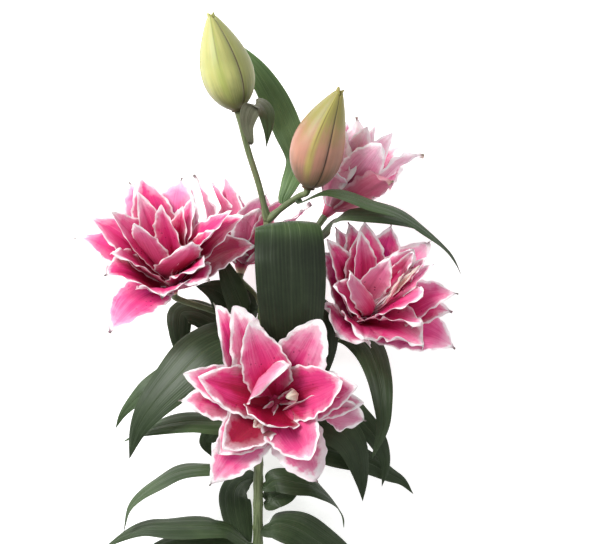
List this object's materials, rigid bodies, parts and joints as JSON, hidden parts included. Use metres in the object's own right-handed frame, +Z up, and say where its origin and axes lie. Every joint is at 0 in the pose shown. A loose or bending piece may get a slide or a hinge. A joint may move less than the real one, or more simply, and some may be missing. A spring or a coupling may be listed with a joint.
{
  "type": "cut lily",
  "caption": "Cut stem of a double-flowered oriental lily with pink, white-edged blooms, closed buds and long pointed leaves, lying on its side.",
  "frame": {"origin": "on the surface that the stem lies on, under the middle of the whole spray", "axes": "+Y along the stem from the cut end to the buds, +Z up off the surface, which is the way the front bloom looks, +X to the right seen from above with the buds at the far end"},
  "size_m": [0.3561, 0.6, 0.1704],
  "materials": {
    "stem": "satin fresh green stem, paler on one side",
    "petals": "soft velvety deep pink with white margins and crimson spots",
    "petals_pale": "soft pale pink petal backs with white margins",
    "bud_green": "smooth satin yellow green with darker seams",
    "bud_blush": "smooth satin peach pink with yellow green ribs",
    "leaves": "satin dark green with lengthwise parallel veins"
  },
  "bodies": {
    "root": {"stem": "stem", "bloom_front": "petals", "bloom_left": "petals", "bloom_right": "petals", "bloom_back_right": "petals_pale", "bloom_back_left": "petals", "bud_green": "bud_green", "bud_blush": "bud_blush", "leaf_left_broad": "leaves", "leaf_left_behind": "leaves", "leaf_left_level": "leaves", "leaf_left_arching": "leaves", "leaf_left_low": "leaves", "leaf_left_lowest": "leaves", "leaf_left_hanging": "leaves", "leaf_left_hidden": "leaves", "leaf_right_hooked": "leaves", "leaf_right_low": "leaves", "leaf_right_short": "leaves", "leaf_right_long": "leaves", "leaf_right_drooping": "leaves", "leaf_right_behind": "leaves", "leaf_right_broad": "leaves", "leaf_right_inner": "leaves", "leaf_centre": "leaves", "leaf_arch_upper": "leaves", "leaf_arch_lower": "leaves", "leaf_top": "leaves", "leaf_bract": "leaves", "leaf_under_left": "leaves", "leaf_dark": "leaves", "leaf_strip": "leaves"}
  },
  "joints": []
}
